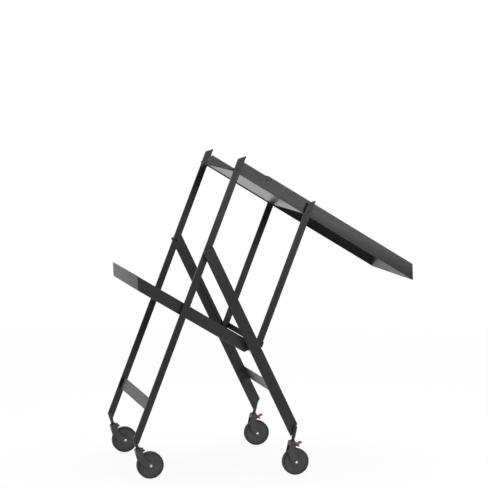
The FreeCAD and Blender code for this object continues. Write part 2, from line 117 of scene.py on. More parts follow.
class TrolleyBars(bpy.types.PropertyGroup):
    """Flat bars of the legs and struts, in the frame of the pivot that carries each."""
    width: length("Bar width", "Width of a long leg or strut", 20)
    short_width: length("Short leg width", "Width of a short leg", 34)
    short_offset: length("Short leg offset", "Short leg's centreline from its pivot", 7.3)
    short_lean: FloatProperty(name="Short leg lean", description="Lean of the short legs",
                              default=math.radians(-26.4), subtype="ANGLE")
    long_tip: length("Long leg tip", "Tip above the fold pivot", 299)
    long_tip_drop: length("Tip cut", "Slant of the tip's cut", 16)
    long_foot: length("Long leg foot", "Foot below the fold pivot", 587)
    long_foot_drop: length("Foot cut", "Slant of the long foot's cut", 8)
    short_head: length("Short leg head", "Head above the fold pivot", 10)
    short_foot: length("Short leg foot", "Foot below the fold pivot", 596)
    short_foot_drop: length("Short foot cut", "Slant of the short foot's cut", 25)
    strut_tip: length("Strut tip", "Tip above the strut pivot", 30)
    strut_tip_drop: length("Strut tip cut", "Slant of the strut tip's cut", 14)
    strut_end: length("Strut end", "End below the slider pivot", 10)
    track_start: length("Track start", "Top of the track below the fold pivot", 151)
    track_end: length("Track end", "Bottom of the track below the fold pivot", 470)
    track_width: length("Track width", "Width of the milled track", 10)
    track_depth: length("Track depth", "Depth of the milled track", 2)
    edge: length("Edge radius", "Radius of a bar's broken edges", 0.8)


class TrolleySheets(bpy.types.PropertyGroup):
    """Folded sheet of the table deck and the lower tray."""
    thickness: length("Sheet thickness", "Thickness of the folded sheet", 1.5)
    bend: length("Bend radius", "Outer radius of a fold", 2.6)
    rim: length("Rim radius", "Radius of the sheet's cut rims", 0.3)


class TrolleyCastors(bpy.types.PropertyGroup):
    """Castors, in the frame of the axle with the swivel axis upright."""
    wheel: length("Wheel radius", "Radius over the tyre", 40)
    width: length("Wheel width", "Width of the tyre", 20)
    tyre: length("Tyre depth", "Depth of the rubber tyre", 5)
    rim: length("Rim", "Radius where the disc's recess starts", 31.5)
    hub: length("Hub radius", "Radius of the hub's raised face", 12)
    axle: length("Axle radius", "Radius of the axle", 4)
    facets: IntProperty(name="Facets", description="Facets round a wheel", default=96, min=24)


class TrolleyFinishes(bpy.types.PropertyGroup):
    """Colours of the finishes."""
    frame_coat: colour("Frame coat", "Powder coat of the bars", "#171718")
    tray_coat: colour("Tray coat", "Powder coat of the deck and tray", "#2a2a2c")
    nylon: colour("Castor nylon", "Moulded forks and wheel discs", "#2f2f31")
    rubber: colour("Tyre rubber", "Tyres", "#1d1d1e")
    zinc: colour("Zinc plate", "Axles, clips and rivets", "#d6d6d8")
    brake: colour("Brake nylon", "Brake levers", "#c8311f")
    bush: colour("Bush nylon", "Washers, rollers and toe pads", "#1b1b1c")


class TrolleyStage(bpy.types.PropertyGroup):
    """Floor, lamps and camera."""
    floor_size: length("Floor size", "Half the side of the floor", 14000)
    key_power: FloatProperty(name="Key lamp", description="Power of the overhead lamp",
                             default=40.0, unit="POWER")
    front_power: FloatProperty(name="Front lamp", description="Power of the high front lamp",
                               default=48.0, unit="POWER")
    lens: FloatProperty(name="Lens", description="Focal length", default=143.74,
                        unit="CAMERA")


# ---------------------------------------------------------------- materials
def node(tree, kind, links=None, **settings):
    """Add one node with its settings, its input values and its links."""
    made = tree.nodes.new(kind)
    for name, value in settings.items():
        setattr(made, name, value)
    for socket, source in (links or {}).items():
        if isinstance(source, bpy.types.NodeSocket):
            tree.links.new(source, made.inputs[socket])
        else:
            made.inputs[socket].default_value = source
    return made


def blank(name):
    material = bpy.data.materials.new(name)
    material.use_nodes = True
    material.node_tree.nodes.clear()
    return material, material.node_tree


def speckle(tree, size, detail=2.0):
    """Noise on object coordinates whose grains are about that size, in metres."""
    place = node(tree, "ShaderNodeTexCoord")
    return node(tree, "ShaderNodeTexNoise", {
        "Vector": place.outputs["Object"], "Scale": 1.0 / size, "Detail": detail})


def stretch(tree, source, low, high):
    """Map a noise's middle range to low..high."""
    return node(tree, "ShaderNodeMapRange", {
        "Value": source, "From Min": 0.3, "From Max": 0.7, "To Min": low, "To Max": high})


def surface(name, base, grain, tone, rough, relief, **sockets):
    """Finish with a grain that varies its tone, roughness and relief.

    grain is (fine, broad) in metres, tone the lightest share of white mixed in,
    rough the (low, high) roughness and relief the height of the grain in metres."""
    material, tree = blank(name)
    fine = speckle(tree, grain[0])
    broad = speckle(tree, grain[1], 3.0)
    light = [min(1.0, c + (1 - c) * tone) for c in base[:3]] + [1.0]
    share = stretch(tree, broad.outputs["Fac"], 0, 1)
    # 6 and 7 are the colour sockets of a Mix node, whose names its other sockets share
    mixed = node(tree, "ShaderNodeMix", {0: share.outputs[0], 6: list(base), 7: light},
                 data_type="RGBA")
    roughness = stretch(tree, fine.outputs["Fac"], *rough)
    bump = node(tree, "ShaderNodeBump", {"Height": fine.outputs["Fac"], "Distance": relief,
                                         "Strength": 1.0})
    shader = node(tree, "ShaderNodeBsdfPrincipled", {
        "Base Color": mixed.outputs[2], "Roughness": roughness.outputs[0],
        "Normal": bump.outputs[0], **sockets})
    node(tree, "ShaderNodeOutputMaterial", {"Surface": shader.outputs[0]})
    return material


def powder_coat(name, base, rough):
    """Polyester powder coat baked on steel: black, semi-matt, with an orange-peel grain of
    about 0.4 mm that spreads the highlights; drawn at 1.2 mm so that it shows."""
    return surface(name, base, (0.0012, 0.09), 0.012, rough, 0.00003)


def moulded_nylon(name, base):
    """Glass-filled nylon from a spark-eroded mould: dull black with a fine even grain
    of about 0.3 mm, drawn at 0.8 mm."""
    return surface(name, base, (0.0008, 0.03), 0.015, (0.42, 0.58), 0.00002)


def tyre_rubber(name, base):
    """Thermoplastic rubber tread: matt, with faint scuffs a few millimetres long."""
    return surface(name, base, (0.002, 0.012), 0.03, (0.6, 0.8), 0.00004)


def zinc_plate(name, base):
    """Bright zinc plate on turned steel: a metal with faint tool marks of about 0.2 mm."""
    return surface(name, base, (0.0004, 0.006), 0.0, (0.18, 0.34), 0.00001, Metallic=1.0)


def gloss_nylon(name, base):
    """Injection-moulded coloured nylon: smooth, slightly soft gloss, colour through the piece."""
    return surface(name, base, (0.0015, 0.01), 0.03, (0.3, 0.42), 0.00001)


MAKERS = {
    "frame_enamel": ("powder_coat_frame", lambda n, f: powder_coat(n, f.frame_coat, (0.34, 0.48))),
    "tray_enamel": ("powder_coat_trays", lambda n, f: powder_coat(n, f.tray_coat, (0.26, 0.36))),
    "dulled_enamel": ("powder_coat_dulled", lambda n, f: powder_coat(n, f.tray_coat, (0.42, 0.54))),
    "castor_nylon": ("glass_filled_nylon", lambda n, f: moulded_nylon(n, f.nylon)),
    "tyre_rubber": ("thermoplastic_rubber", lambda n, f: tyre_rubber(n, f.rubber)),
    "zinc_steel": ("bright_zinc_plate", lambda n, f: zinc_plate(n, f.zinc)),
    "red_nylon": ("red_gloss_nylon", lambda n, f: gloss_nylon(n, f.brake)),
    "black_nylon": ("black_bush_nylon", lambda n, f: moulded_nylon(n, f.bush)),
}


def finish_of(slot):
    """The material of a slot, made once."""
    name, make = MAKERS[slot]
    return bpy.data.materials.get(name) or make(name, bpy.context.scene.trolley_finishes)


# ---------------------------------------------------------------- mesh helpers
def rounded(points, steps=6):
    """Polygon with filleted corners: each point is (x, z, radius) in millimetres."""
    result = []
    for index, (x, z, radius) in enumerate(points):
        corner = Vector((x, z))
        before = Vector(points[index - 1][:2]) - corner
        after = Vector(points[(index + 1) % len(points)][:2]) - corner
        half = before.angle(after) / 2
        reach = min(radius / math.tan(half), before.length * 0.49, after.length * 0.49)
        if reach < 0.01:
            result.append(corner)
            continue
        start, end = corner + before.normalized() * reach, corner + after.normalized() * reach
        for step in range(steps + 1):
            t = step / steps
            result.append(start * (1 - t) ** 2 + corner * 2 * t * (1 - t) + end * t ** 2)
    return [(point.x, point.y) for point in result]


def prism(points, inner, outer, bm=None):
    """Closed prism of an X-Z outline between two Y planes; all in millimetres."""
    bm = bm or bmesh.new()
    caps = [[bm.verts.new((x * MM, y * MM, z * MM)) for x, z in points] for y in (inner, outer)]
    faces = [bm.faces.new(caps[0]), bm.faces.new(caps[1][::-1])]
    for index in range(len(points)):
        follower = (index + 1) % len(points)
        faces.append(bm.faces.new((caps[0][index], caps[1][index],
                                   caps[1][follower], caps[0][follower])))
    bmesh.ops.recalc_face_normals(bm, faces=faces)
    return bm


def turned(profile, facets, bm=None, ring=False):
    """Solid of revolution about Y from (radius, y) pairs in millimetres."""
    bm = bm or bmesh.new()
    rows = []
    for radius, y in profile:
        angles = [math.tau * i / facets for i in range(facets)] if radius > 1e-6 else [0.0]
        rows.append([bm.verts.new((radius * MM * math.cos(a), y * MM, radius * MM * math.sin(a)))
                     for a in angles])
    joins = list(zip(rows, rows[1:])) + ([(rows[-1], rows[0])] if ring else [])
    faces = []
    for low, high in joins:
        for i in range(facets):
            j = (i + 1) % facets
            corners = (low[i % len(low)], low[j % len(low)],
                       high[j % len(high)], high[i % len(high)])
            faces.append(bm.faces.new(tuple(dict.fromkeys(corners))))
    bmesh.ops.recalc_face_normals(bm, faces=faces)
    return bm


def piece(name, bm, place, body, slot, nodes=(), edge=0.0, steps=3, sharp=35, sheet=0.0):
    """Finish a mesh in its own frame as an object at the origin that rides on a body."""
    mesh = bpy.data.meshes.new(name)
    bm.transform(place)
    bm.to_mesh(mesh)
    bm.free()
    return dress(name, mesh, body, slot, nodes, edge, steps, sharp, sheet)


def dress(name, mesh, body, slot, nodes=(), edge=0.0, steps=3, sharp=35, sheet=0.0):
    """Object for a finished mesh, with its shading, edges, material and place in the table."""
    mesh.name = name
    mesh.polygons.foreach_set("use_smooth", [True] * len(mesh.polygons))
    obj = bpy.data.objects.new(name, mesh)
    bpy.context.scene.collection.objects.link(obj)
    if not mesh.materials:
        mesh.materials.append(finish_of(slot))
    if sheet:
        wall = obj.modifiers.new("Sheet", "SOLIDIFY")
        wall.thickness, wall.offset = sheet, -1.0
        wall.use_even_offset = True
    if edge:
        soften = obj.modifiers.new("Edges", "BEVEL")
        soften.width, soften.segments = edge, steps
        soften.limit_method, soften.angle_limit = "ANGLE", math.radians(sharp)
        soften.harden_normals = True
    else:
        mesh.set_sharp_from_angle(angle=math.radians(sharp))
    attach(obj, body)
    if nodes:
        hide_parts(*nodes)
    return obj


# ---------------------------------------------------------------- bars
def bar_side(half, low_left, low_right, high_left, high_right, offset=0.0):
    return [(offset - half, low_left), (offset + half, low_right),
            (offset + half, high_right), (offset - half, high_left)]


def tracked_bar(points, inner, outer, width, depth, top, low, centre):
    """Flat bar with a round-ended track milled in its inner face; all in millimetres."""
    turns = 8
    radius = width / 2
    arc = [math.pi * i / turns for i in range(turns + 1)]
    right = [(centre + radius * math.sin(a), top - radius + radius * math.cos(a))
             for a in arc[:turns // 2 + 1]]
    right += [(centre + radius * math.sin(a), low + radius + radius * math.cos(a))
              for a in arc[turns // 2:]]
    left = [(2 * centre - x, z) for x, z in right[1:-1]][::-1]
    loop = right + left
    bm = bmesh.new()

    def ring(outline, y):
        return [bm.verts.new((x * MM, y * MM, z * MM)) for x, z in outline]

    floor = inner + math.copysign(depth, outer - inner)
    face, back = ring(points, inner), ring(points, outer)
    mouth, bottom = ring(loop, inner), ring(loop, floor)
    low_left, low_right, high_right, high_left = face
    half = len(right)
    bm.faces.new([high_left, high_right, mouth[0]])
    bm.faces.new([low_left, low_right, mouth[half - 1]])
    bm.faces.new([high_right, low_right] + mouth[:half][::-1])
    bm.faces.new([low_left, high_left, mouth[0]] + mouth[half - 1:][::-1])
    bm.faces.new(bottom)
    bm.faces.new(back)
    for one, other in ((face, back), (mouth, bottom)):
        for i in range(len(one)):
            j = (i + 1) % len(one)
            bm.faces.new((one[i], one[j], other[j], other[i]))
    bmesh.ops.recalc_face_normals(bm, faces=bm.faces)
    return bm


def bars():
    return {name: getattr(bpy.context.scene.trolley_bars, name) / MM
            for name in TrolleyBars.__annotations__ if name != "short_lean"}


class TROLLEY_OT_long_legs(bpy.types.Operator):
    """Build the two long legs and the flat bar between their feet"""
    bl_idname = "trolley.long_legs"
    bl_label = "Long legs"
    bl_options = {"REGISTER", "UNDO"}

    def execute(self, context):
        b = bars()
        half, tip, foot = b["width"] / 2, b["long_tip"], -b["long_foot"]
        rise, drop = b["long_tip_drop"] / 2, b["long_foot_drop"] / 2
        side = bar_side(half, foot + drop, foot - drop, tip - rise, tip + rise)
        place = seat(FOLD, LONG_LEAN)
        for name, sign in SIDES.items():
            inner, outer = (sign * reach / MM for reach in span(f"long_leg_{name}"))
            piece(f"long_leg_{name}_bar", prism(side, inner, outer), place, "long_leg_frame",
                  "frame_enamel", [f"long_leg_{name}"], context.scene.trolley_bars.edge)
        crossbar(context, "long_leg_crossbar", place, "long_leg_frame")
        return {"FINISHED"}


def crossbar(context, node_name, place, body):
    """Flat bar across the trolley, read from its CAD node in the frame of its pivot."""
    back = place.inverted()
    corners = [back @ vertex.co / MM for vertex in frame["nodes"][node_name].data.vertices]
    x = min(c.x for c in corners), max(c.x for c in corners)
    y = min(c.y for c in corners), max(c.y for c in corners)
    z = min(c.z for c in corners), max(c.z for c in corners)
    outline = [(x[0], z[0]), (x[1], z[0]), (x[1], z[1]), (x[0], z[1])]
    piece(f"{node_name}_plate", prism(outline, *y), place, body, "frame_enamel", [node_name],
          context.scene.trolley_bars.edge * 0.6)


class TROLLEY_OT_short_legs(bpy.types.Operator):
    """Build the two short legs with their milled tracks and the flat bar between their feet"""
    bl_idname = "trolley.short_legs"
    bl_label = "Short legs"
    bl_options = {"REGISTER", "UNDO"}

    def execute(self, context):
        b = bars()
        foot, drop = -b["short_foot"], b["short_foot_drop"] / 2
        side = bar_side(b["short_width"] / 2, foot - drop, foot + drop,
                        b["short_head"], b["short_head"], b["short_offset"])
        place = seat(FOLD, context.scene.trolley_bars.short_lean)
        for name, sign in SIDES.items():
            inner, outer = (sign * reach / MM for reach in span(f"short_leg_{name}"))
            track = tracked_bar(side, inner, outer, b["track_width"], b["track_depth"],
                                -b["track_start"], -b["track_end"], b["short_offset"])
            piece(f"short_leg_{name}_bar", track, place, "short_leg_frame", "frame_enamel",
                  [f"short_leg_{name}"], context.scene.trolley_bars.edge)
        crossbar(context, "short_leg_crossbar", place, "short_leg_frame")
        return {"FINISHED"}


class TROLLEY_OT_struts(bpy.types.Operator):
    """Build the two struts and the small plate that ties them above the slider"""
    bl_idname = "trolley.struts"
    bl_label = "Struts"
    bl_options = {"REGISTER", "UNDO"}

    def execute(self, context):
        b = bars()
        low = -(STRUT - SLIDER).length / MM - b["strut_end"]
        tip, rise = b["strut_tip"], b["strut_tip_drop"] / 2
        side = bar_side(b["width"] / 2, low, low, tip - rise, tip + rise)
        place = seat(STRUT, LONG_LEAN)
        for name, sign in SIDES.items():
            inner, outer = (sign * reach / MM for reach in span(f"strut_{name}"))
            piece(f"strut_{name}_bar", prism(side, inner, outer), place, "strut_frame",
                  "frame_enamel", [f"strut_{name}"], context.scene.trolley_bars.edge)
        crossbar(context, "strut_crossplate", seat(SLIDER, LONG_LEAN), "strut_frame")
        return {"FINISHED"}


# ---------------------------------------------------------------- folded sheet
def folded_sheet(side, half, panels, bend):
    """Outer skin of a folded tray: two side walls and the panels between them, bent round."""
    bm = bmesh.new()
    walls = [[bm.verts.new((x * MM, y * MM, z * MM)) for x, z in side] for y in (-half, half)]
    near = bm.faces.new(walls[0])
    far = bm.faces.new(walls[1])
    skins = []
    for first in panels:
        second = (first + 1) % len(side)
        skins.append(bm.faces.new((walls[0][first], walls[0][second],
                                   walls[1][second], walls[1][first])))
    middle = sum((face.calc_center_median() for face in (near, far)), Vector()) / 2
    bm.normal_update()
    for face in (near, far, *skins):
        if face.normal.dot(face.calc_center_median() - middle) < 0:
            face.normal_flip()
    folds = [edge for edge in bm.edges if len(edge.link_faces) == 2]
    bmesh.ops.bevel(bm, geom=folds, offset=bend * MM, segments=5, profile=0.5, affect="EDGES",
                    clamp_overlap=True)
    return bm


class TROLLEY_OT_table(bpy.types.Operator):
    """Build the table deck, an inverted folded tray, and its closing plate"""
    bl_idname = "trolley.table"
    bl_label = "Table deck"
    bl_options = {"REGISTER", "UNDO"}

    def execute(self, context):
        sheets = context.scene.trolley_sheets
        half = span("table_deck")[1] / MM
        top, step_top, low = 29.0, 25.5, -12.0
        left, step, right = 9.0, 94.0, 619.0
        left_flare, right_flare = 24.0, 27.0
        side = [(left, step_top), (step, step_top), (step, top), (right, top),
                (right + right_flare, low), (left - left_flare, low)]
        piece("table_deck_sheet", folded_sheet(side, half, (2, 3), sheets.bend / MM),
              seat(TABLE, SLOPE), "table", "tray_enamel", ["table_deck"], sheets.rim, 2, 50,
              sheets.thickness)
        under, over, end = -9.0, -7.5, left + 246.0
        floor = [(left, under), (end, under), (end, over), (left, over)]
        reach = span("hinge_plate")[1] / MM
        piece("closing_plate_sheet", prism(floor, -reach, reach), seat(TABLE, SLOPE), "table",
              "tray_enamel", ["hinge_plate"], sheets.rim, 2)
        return {"FINISHED"}


class TROLLEY_OT_lower_tray(bpy.types.Operator):
    """Build the lower tray and the two ears that reach out to the slider pivot"""
    bl_idname = "trolley.lower_tray"
    bl_label = "Lower tray"
    bl_options = {"REGISTER", "UNDO"}

    def execute(self, context):
        sheets = context.scene.trolley_sheets
        half = span("lower_tray")[1] / MM
        low, top = -21.0, 15.0
        left, right, flare = -148.0, 225.0, 24.0
        side = [(left, low), (right, low), (right + flare, top), (left - flare, top)]
        sheet = piece("lower_tray_sheet", folded_sheet(side, half, (0, 1, 3), sheets.bend / MM),
                      seat(TRAY, SLOPE), "tray", "tray_enamel", ["lower_tray"], sheets.rim, 2,
                      50, sheets.thickness)
        # crockery and wiping have dulled the lower tray's coat
        sheet.data.materials[0] = finish_of("dulled_enamel")
        pitch = (STRUT - TABLE).length / MM
        root, tip, half_width = pitch - 38, pitch + 9, 10
        plate = rounded([(root, -half_width, 3), (tip, -half_width, 8), (tip, half_width, 8),
                         (root, half_width, 3)])
        inner, outer = (reach / MM for reach in span("tray_hinge_ears"))
        ears = prism(plate, -outer, -inner)
        prism(plate, inner, outer, ears)
        piece("tray_ears", ears, seat(TRAY, SLOPE), "tray", "frame_enamel",
              ["tray_hinge_ears"], sheets.rim, 2)
        return {"FINISHED"}


# ---------------------------------------------------------------- pivots
def open_tree(name, inputs):
    """Geometry tree that takes a piece and those inputs, with the sockets that give them."""
    tree = bpy.data.node_groups.new(name, "GeometryNodeTree")
    for label, kind in {"Geometry": "Geometry", **inputs, "Finish": "Material"}.items():
        tree.interface.new_socket(label, in_out="INPUT", socket_type=f"NodeSocket{kind}")
    tree.interface.new_socket("Geometry", in_out="OUTPUT", socket_type="NodeSocketGeometry")
    return tree, node(tree, "NodeGroupInput").outputs


def close_tree(tree, copies, finish):
    """End a geometry tree in a plain mesh of one finish."""
    real = node(tree, "GeometryNodeRealizeInstances", {"Geometry": copies.outputs[0]})
    dressed = node(tree, "GeometryNodeSetMaterial", {
        "Geometry": real.outputs[0], "Material": finish})
    node(tree, "NodeGroupOutput", {"Geometry": dressed.outputs[0]})
    return tree


def across_pair_tree():
    """Geometry nodes that set a piece at both sides of the trolley, the second turned over."""
    tree = bpy.data.node_groups.get("across_pair")
    if tree:
        return tree
    tree, given = open_tree("across_pair", {"Pivot": "Vector", "Reach": "Float",
                                            "Turn over": "Float"})
    side = node(tree, "ShaderNodeCombineXYZ", {"Y": given["Reach"]}).outputs[0]
    start = node(tree, "ShaderNodeVectorMath", {0: given["Pivot"], 1: side}, operation="SUBTRACT")
    across = node(tree, "ShaderNodeVectorMath", {0: side, "Scale": 2.0}, operation="SCALE")
    line = node(tree, "GeometryNodeMeshLine", {
        "Count": 2, "Start Location": start.outputs[0], "Offset": across.outputs[0]})
    order = node(tree, "GeometryNodeInputIndex")
    turn = node(tree, "ShaderNodeMath", {0: order.outputs[0], 1: given["Turn over"]},
                operation="MULTIPLY")
    roll = node(tree, "ShaderNodeCombineXYZ", {"X": turn.outputs[0]})
    copies = node(tree, "GeometryNodeInstanceOnPoints", {
        "Points": line.outputs[0], "Instance": given["Geometry"], "Rotation": roll.outputs[0]})
    return close_tree(tree, copies, given["Finish"])


def grown(name, bm, tree, values):
    """Run a mesh through a geometry tree and return the plain mesh that comes out."""
    seed_mesh = bpy.data.meshes.new(f"{name}_seed")
    bm.to_mesh(seed_mesh)
    bm.free()
    seed = bpy.data.objects.new(f"{name}_seed", seed_mesh)
    bpy.context.scene.collection.objects.link(seed)
    modifier = seed.modifiers.new("Nodes", "NODES")
    modifier.node_group = tree
    sockets = {item.name: item.identifier for item in tree.interface.items_tree
               if item.item_type == "SOCKET" and item.in_out == "INPUT"}
    for label, value in values.items():
        modifier[sockets[label]] = value
    graph = bpy.context.evaluated_depsgraph_get()
    mesh = bpy.data.meshes.new_from_object(seed.evaluated_get(graph))
    seed.modifiers.remove(modifier)
    bpy.data.objects.remove(seed)
    bpy.data.meshes.remove(seed_mesh)
    return mesh


def pin_profile(radius, length):
    """Pivot pin: low domed head at its outer end, chamfer at its inner end."""
    head, end = -length / 2, length / 2
    dome = [(radius * math.sin(math.radians(a)), head - 0.7 * math.cos(math.radians(a)))
            for a in (0, 25, 50, 75)]
    return dome + [(radius, head), (radius, end - 0.5), (radius - 0.5, end), (0, end)]


def stub_profile(radius, length):
    """Pin with a chamfer at both ends, for where there is no room for a head."""
    end = length / 2
    return [(0, -end), (radius - 0.5, -end), (radius, 0.5 - end), (radius, end - 0.5),
            (radius - 0.5, end), (0, end)]


def ring_profile(radius, length, bore):
    """Washer, bush or roller with broken edges."""
    half, chamfer = length / 2, min(0.35, length / 4)
    return [(bore, -half), (radius - chamfer, -half), (radius, -half + chamfer),
            (radius, half - chamfer), (radius - chamfer, half), (bore, half)]


def rivet_profile(radius, length):
    """Flat rivet head with a rounded rim."""
    head = -length / 2
    return [(0, head), (radius * 0.7, head + 0.1), (radius, head + 0.8), (radius, length / 2),
            (0, length / 2)]


PIVOTS = (
    ("fold_pins", FOLD, "pin", "long_leg_frame", "frame_enamel"),
    ("fold_washers", FOLD, "ring", "long_leg_frame", "black_nylon"),
    ("table_pins", TABLE, "pin", "long_leg_frame", "frame_enamel"),
    ("table_washers", TABLE, "ring", "long_leg_frame", "black_nylon"),
    ("table_clips", TABLE, "ring", "long_leg_frame", "frame_enamel"),
    ("tray_pins", TRAY, "pin", "long_leg_frame", "frame_enamel"),
    ("tray_spacers", TRAY, "ring", "long_leg_frame", "black_nylon"),
    ("tray_clips", TRAY, "ring", "long_leg_frame", "frame_enamel"),
    ("strut_pins", STRUT, "pin", "strut_frame", "frame_enamel"),
    ("strut_washers", STRUT, "ring", "strut_frame", "black_nylon"),
    ("strut_clips", STRUT, "ring", "strut_frame", "frame_enamel"),
    ("slider_pins", SLIDER, "stub", "strut_frame", "frame_enamel"),
    ("slider_washers", SLIDER, "ring", "strut_frame", "black_nylon"),
    ("slider_rollers", SLIDER, "ring", "strut_frame", "black_nylon"),
    ("deck_rivets", None, "rivet", "table", "frame_enamel"),
)


class TROLLEY_OT_pivots(bpy.types.Operator):
    """Build the pins, washers, clips, rollers and rivets as pairs across the trolley"""
    bl_idname = "trolley.pivots"
    bl_label = "Pivots"
    bl_options = {"REGISTER", "UNDO"}

    def execute(self, context):
        bore = context.scene.trolley_castors.axle / MM
        for name, place, kind, body, slot in PIVOTS:
            low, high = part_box(name)
            inner, outer = (reach / MM for reach in span(name))
            radius, length = (high.x - low.x) / 2 / MM, outer - inner
            if place is None:
                place = (low + high) / 2
            if kind == "pin":
                bm = turned(pin_profile(radius, length), 32)
            elif kind == "stub":
                bm = turned(stub_profile(radius, length), 32)
            elif kind == "ring":
                bm = turned(ring_profile(radius, length, bore), 40, ring=True)
            else:
                bm = turned(rivet_profile(radius, length), 24)
            mesh = grown(name, bm, across_pair_tree(), {
                "Pivot": (place.x, 0.0, place.z), "Reach": (inner + outer) / 2 * MM,
                "Turn over": math.pi, "Finish": finish_of(slot)})
            dress(f"{name}_pair", mesh, body, slot, [name])
        return {"FINISHED"}


# ---------------------------------------------------------------- castors
# in millimetres, in the frame of the axle with the swivel axis upright
LEVER = (-7.0, 51.0)
CROWN_TOP = 60.0
STEM_FOOT = 60.2


def stem_profile(low, top):
    """Stem upright in the castor's frame: collar at the fork, neck, then the full tube."""
    return [(0, low), (6.4, low), (6.6, low + 0.4), (6.4, low + 2), (4.8, low + 2.6),
            (4.8, low + 8), (5.5, low + 13), (5.5, top - 1.2), (4.3, top), (0, top)]


class TROLLEY_OT_stems(bpy.types.Operator):
    """Build the stems that carry the castors beside the feet of the legs"""
    bl_idname = "trolley.stems"
    bl_label = "Castor stems"
    bl_options = {"REGISTER", "UNDO"}

    def execute(self, context):
        upright = Matrix.Rotation(math.radians(90), 4, "X")
        for end in ("long", "short"):
            place, trail = castor_frame(f"{end}_right")
            stems = frame["nodes"][f"{end}_leg_stems"].data
            top = max((place.inverted() @ vertex.co).z for vertex in stems.vertices) / MM
            bm = turned(stem_profile(STEM_FOOT, top), 32)
            axis = Matrix.Translation((-trail, 0, 0))
            turn = Matrix.Rotation(math.atan2(JOINTS[f"{end}_right_swivel"]["axis"][0],
                                              JOINTS[f"{end}_right_swivel"]["axis"][2]), 4, "Y")
            bm.transform(turn @ axis @ upright)
            centre = place.translation
            mesh = grown(f"{end}_stems", bm, across_pair_tree(), {
                "Pivot": (centre.x, 0.0, centre.z), "Reach": abs(centre.y), "Turn over": 0.0,
                "Finish": finish_of("frame_enamel")})
            dress(f"{end}_stem_pair", mesh, f"{end}_leg_frame", "frame_enamel",
                  [f"{end}_leg_stems"])
        return {"FINISHED"}


def fork_mesh(name, trail, lever):
    """Moulded fork: crown, top ring and two swept cheeks, blended into one skin."""
    inner, outer = 11.0, 15.0
    lx, lz = lever
    back, front = -trail - 9.5, -trail + 9.5
    cheek = rounded([
        (back, 58, 4), (front, 58, 2), (front, 54.6, 1.5), (lx + 3.4, lz + 3.4, 3),
        (lx + 3.4, lz - 3.4, 3), (front, 47, 2), (front, 31, 8), (-6, 16.5, 10), (6.8, 8, 6),
        (10, 0, 6), (7.3, -7.3, 6), (0, -10, 6), (-7.5, -7, 6), (-trail, 4.5, 12), (back, 22, 12)])
    bm = prism(cheek, -outer, -inner)
    prism(cheek, inner, outer, bm)
    crown = rounded([(back, 43.8, 3), (front, 43.8, 2), (front, 57, 3), (back, 57, 4)])
    prism(crown, -outer + 0.4, outer - 0.4, bm)
    top = turned([(0, 0), (8.8, 0), (9.5, 0.7), (9.5, 12), (0, 12)], 48)
    upright = Matrix.Rotation(math.radians(-90), 4, "X")
    top.transform(Matrix.Translation((-trail * MM, 0, CROWN_TOP * MM)) @ upright)
    scrap = bpy.data.meshes.new("fork_top")
    top.to_mesh(scrap)
    top.free()
    bm.from_mesh(scrap)
    bpy.data.meshes.remove(scrap)
    rough = bpy.data.meshes.new(f"{name}_rough")
    bm.to_mesh(rough)
    bm.free()
    obj = bpy.data.objects.new(f"{name}_rough", rough)
    bpy.context.scene.collection.objects.link(obj)
    skin = obj.modifiers.new("Skin", "REMESH")
    skin.mode, skin.voxel_size = "VOXEL", 0.0007
    ease = obj.modifiers.new("Ease", "SMOOTH")
    ease.factor, ease.iterations = 0.5, 6
    graph = bpy.context.evaluated_depsgraph_get()
    mesh = bpy.data.meshes.new_from_object(obj.evaluated_get(graph))
    bpy.data.objects.remove(obj)
    bpy.data.meshes.remove(rough)
    return mesh


class TROLLEY_OT_forks(bpy.types.Operator):
    """Build the moulded forks and the bright axles of the four castors"""
    bl_idname = "trolley.forks"
    bl_label = "Forks and axles"
    bl_options = {"REGISTER", "UNDO"}

    def execute(self, context):
        _, trail = castor_frame("long_right")
        master = fork_mesh("fork", trail / MM, LEVER)
        radius = context.scene.trolley_castors.axle / MM
        for end in ("long", "short"):
            for side in SIDES:
                name = f"{end}_{side}"
                place, _ = castor_frame(name)
                mesh = master.copy()
                mesh.transform(place)
                dress(f"{name}_fork_moulding", mesh, f"{name}_castor", "castor_nylon",
                      [f"{name}_fork"], sharp=60)
                inner, outer = (reach / MM for reach in span(f"{name}_axle"))
                half = (outer - inner) / 2
                tips = [(0, -half - 0.5), (1.2, -half - 0.45), (2.4, -half - 0.2), (3.1, -half),
                        (radius, -half + 0.8)]
                profile = tips + [(r, -y) for r, y in tips[::-1]]
                piece(f"{name}_axle_rod", turned(profile, 32), place, f"{name}_castor",
                      "zinc_steel", [f"{name}_axle"])
        bpy.data.meshes.remove(master)
        return {"FINISHED"}


